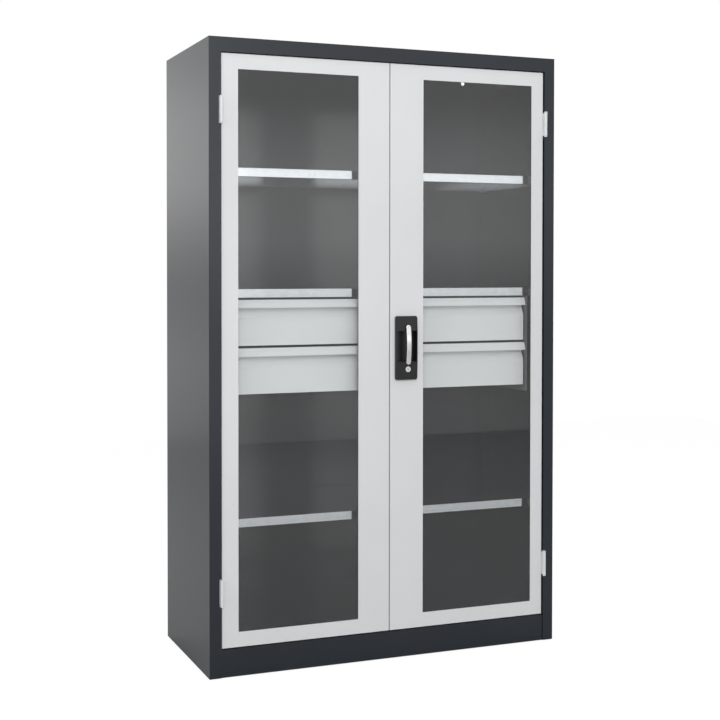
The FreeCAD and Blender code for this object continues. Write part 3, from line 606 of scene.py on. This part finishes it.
# %% The tree that sets heads out in rows
rows_tree = bpy.data.node_groups.new("fastener_rows", "GeometryNodeTree")
rows_tree.interface.new_socket("Geometry", in_out="INPUT", socket_type="NodeSocketGeometry")
SOCKET = {}
for label, kind in (("Head", "Object"), ("Start", "Vector"), ("Columns", "Int"), ("Column Step", "Vector"),
                    ("Rows", "Int"), ("Row Step", "Vector"), ("Turn", "Vector"), ("Finish", "Material")):
    socket = rows_tree.interface.new_socket(label, in_out="INPUT", socket_type="NodeSocket" + kind)
    SOCKET[label] = socket.identifier
rows_tree.interface.new_socket("Geometry", in_out="OUTPUT", socket_type="NodeSocketGeometry")

given = rows_tree.nodes.new("NodeGroupInput").outputs
columns = add(rows_tree, "GeometryNodeMeshLine", Count=given["Columns"], Start_Location=given["Start"],
              Offset=given["Column Step"])
rows = add(rows_tree, "GeometryNodeMeshLine", Count=given["Rows"], Start_Location=(0, 0, 0),
           Offset=given["Row Step"])
crossings = add(rows_tree, "GeometryNodeInstanceOnPoints", Points=columns.outputs[0],
                Instance=rows.outputs[0])
places = add(rows_tree, "GeometryNodeRealizeInstances", i0=crossings.outputs[0])
head = add(rows_tree, "GeometryNodeObjectInfo", Object=given["Head"])
turn = add(rows_tree, "FunctionNodeEulerToRotation", i0=given["Turn"])
placed = add(rows_tree, "GeometryNodeInstanceOnPoints", Points=places.outputs[0],
             Instance=head.outputs["Geometry"], Rotation=turn.outputs[0])
joined = rows_tree.nodes.new("GeometryNodeJoinGeometry")
rows_tree.links.new(given["Geometry"], joined.inputs[0])
rows_tree.links.new(placed.outputs[0], joined.inputs[0])
solid = add(rows_tree, "GeometryNodeRealizeInstances", i0=joined.outputs[0])
dressed = add(rows_tree, "GeometryNodeSetMaterial", Geometry=solid.outputs[0], Material=given["Finish"])
add(rows_tree, "NodeGroupOutput", i0=dressed.outputs[0])
print("rows tree:", len(rows_tree.nodes), "nodes,", len(SOCKET), "named inputs")

# %% Which way a head faces, and one mesh of fasteners for each body
FACING_UP = (0, 0, 0)
FACING_BACK = (-math.pi / 2, 0, 0)
FACING_RIGHT = (0, math.pi / 2, 0)
FACING_LEFT = (0, -math.pi / 2, 0)


def row_of(head, facing, start, columns, column_step, rows=1, row_step=(0, 0, 0)):
    """The inputs of one set of rows, under their names in the tree."""
    return {"Head": head, "Turn": facing, "Start": start, "Columns": columns, "Column Step": column_step,
            "Rows": rows, "Row Step": row_step, "Finish": plated_steel}


def fasten(name, body, *sets):
    """Stack one modifier for each set of rows, turn the result into a mesh and let it ride on a body."""
    holder = bpy.data.objects.new("setting_out", bpy.data.meshes.new("setting_out"))
    scene.collection.objects.link(holder)
    for inputs in sets:
        modifier = holder.modifiers.new("rows", "NODES")
        modifier.node_group = rows_tree
        for label, value in inputs.items():
            modifier[SOCKET[label]] = value
    mesh = bpy.data.meshes.new_from_object(holder.evaluated_get(bpy.context.evaluated_depsgraph_get()))
    mesh.name = name
    holder.modifiers.clear()
    bpy.data.objects.remove(holder)
    piece = bpy.data.objects.new(name, mesh)
    scene.collection.objects.link(piece)
    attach(piece, body)
    print(name, "faces:", len(mesh.polygons))


print("fasteners are made of", plated_steel.name)

# %% [markdown]
# ## Screws of the doors
#
# Inside each door, screws press a glazing frame on the pane, and on the right door they also hold the gear
# case and the rod guides. Their places could be typed in. They are read from the boxes of the solids instead,
# so that the screws follow if a door changes its size. Only distances from an edge and the spacing of the
# guides are written here.

# %% Where the glazing screws, the case screws and the guide screws go
GLAZING_EDGE = 4.5 * MM
GLAZING_END = 79 * MM
SIDE_SCREWS = 6
END_SCREWS = 3
CASE_INSET = 5 * MM


def glazing_rows(node):
    """Six screws down each side of a glazing frame and three along its top and its bottom."""
    low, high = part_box(node)
    wide, tall = high.x - low.x, high.z - low.z
    apart = wide / (END_SCREWS + 1)
    sides = row_of(glazing_screw, FACING_BACK, (low.x + GLAZING_EDGE, high.y, low.z + GLAZING_END),
                   columns=2, column_step=(wide - 2 * GLAZING_EDGE, 0, 0),
                   rows=SIDE_SCREWS, row_step=(0, 0, (tall - 2 * GLAZING_END) / (SIDE_SCREWS - 1)))
    ends = row_of(glazing_screw, FACING_BACK, (low.x + apart, high.y, low.z + GLAZING_EDGE),
                  columns=END_SCREWS, column_step=(apart, 0, 0),
                  rows=2, row_step=(0, 0, tall - 2 * GLAZING_EDGE))
    return sides, ends


def case_rows():
    """A screw near each corner of the gear case."""
    low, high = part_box("lock_case")
    return row_of(case_screw, FACING_BACK, (low.x + CASE_INSET, high.y, low.z + CASE_INSET),
                  columns=2, column_step=(high.x - low.x - 2 * CASE_INSET, 0, 0),
                  rows=2, row_step=(0, 0, high.z - low.z - 2 * CASE_INSET))


def guide_rows():
    """Two screws on each rod guide: the upper pair stands right of the lower pair."""
    low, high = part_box("rod_guides")
    half, tall, apart = 11 * MM, 24 * MM, 8.6 * MM
    upper_gap, lower_gap = 499.5 * MM, 629.5 * MM
    upper = row_of(guide_screw, FACING_BACK, (high.x - half - apart, high.y, high.z - tall / 2),
                   columns=2, column_step=(2 * apart, 0, 0), rows=2, row_step=(0, 0, -upper_gap))
    lower = row_of(guide_screw, FACING_BACK, (low.x + half - apart, high.y, low.z + tall / 2),
                   columns=2, column_step=(2 * apart, 0, 0), rows=2, row_step=(0, 0, lower_gap))
    return upper, lower


fasten("left_glazing_screws", "left_door", *glazing_rows("left_glazing_frame"))
fasten("right_door_screws", "right_door", *glazing_rows("right_glazing_frame"), case_rows(), *guide_rows())

# %% [markdown]
# ## Runner screws and lock nuts
#
# Each drawer is screwed to its runners from the inside, so the heads show when it is pulled out. Every
# levelling foot has a nut on top of the sill, which keeps its height. The same tree sets out both.

# %% Runner screws inside the drawers and lock nuts on the feet
SHEET = 1.2 * MM
RUNNER_SCREWS = 4
RUNNER_END = 40 * MM
FOOT_RADIUS = 18 * MM
SILL_TOP = 5.2 * MM


def runner_rows(drawer):
    """Four screws through each side wall of a drawer into its runner, heads inside."""
    low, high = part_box(drawer + "_drawer_box")
    rail_low, rail_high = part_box(drawer + "_inner_rails")
    first = rail_low.y + RUNNER_END
    step = (0, (rail_high.y - rail_low.y - 2 * RUNNER_END) / (RUNNER_SCREWS - 1), 0)
    middle = (rail_low.z + rail_high.z) / 2
    left = row_of(runner_screw, FACING_RIGHT, (low.x + SHEET, first, middle),
                  columns=RUNNER_SCREWS, column_step=step)
    right = row_of(runner_screw, FACING_LEFT, (high.x - SHEET, first, middle),
                   columns=RUNNER_SCREWS, column_step=step)
    return left, right


def nut_rows():
    """A lock nut on every foot's stud, on top of the sill."""
    low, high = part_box("levelling_feet")
    return row_of(foot_nut, FACING_UP, (low.x + FOOT_RADIUS, low.y + FOOT_RADIUS, SILL_TOP),
                  columns=2, column_step=(high.x - low.x - 2 * FOOT_RADIUS, 0, 0),
                  rows=2, row_step=(0, high.y - low.y - 2 * FOOT_RADIUS, 0))


fasten("upper_drawer_screws", "upper_drawer", *runner_rows("upper"))
fasten("lower_drawer_screws", "lower_drawer", *runner_rows("lower"))
fasten("foot_nuts", "carcass", nut_rows())

# %% [markdown]
# ## Finish the scene
#
# The Standard view transform shows a colour as it is written, which a filmic one would soften.

# %% View transform
scene.view_settings.view_transform = "Standard"
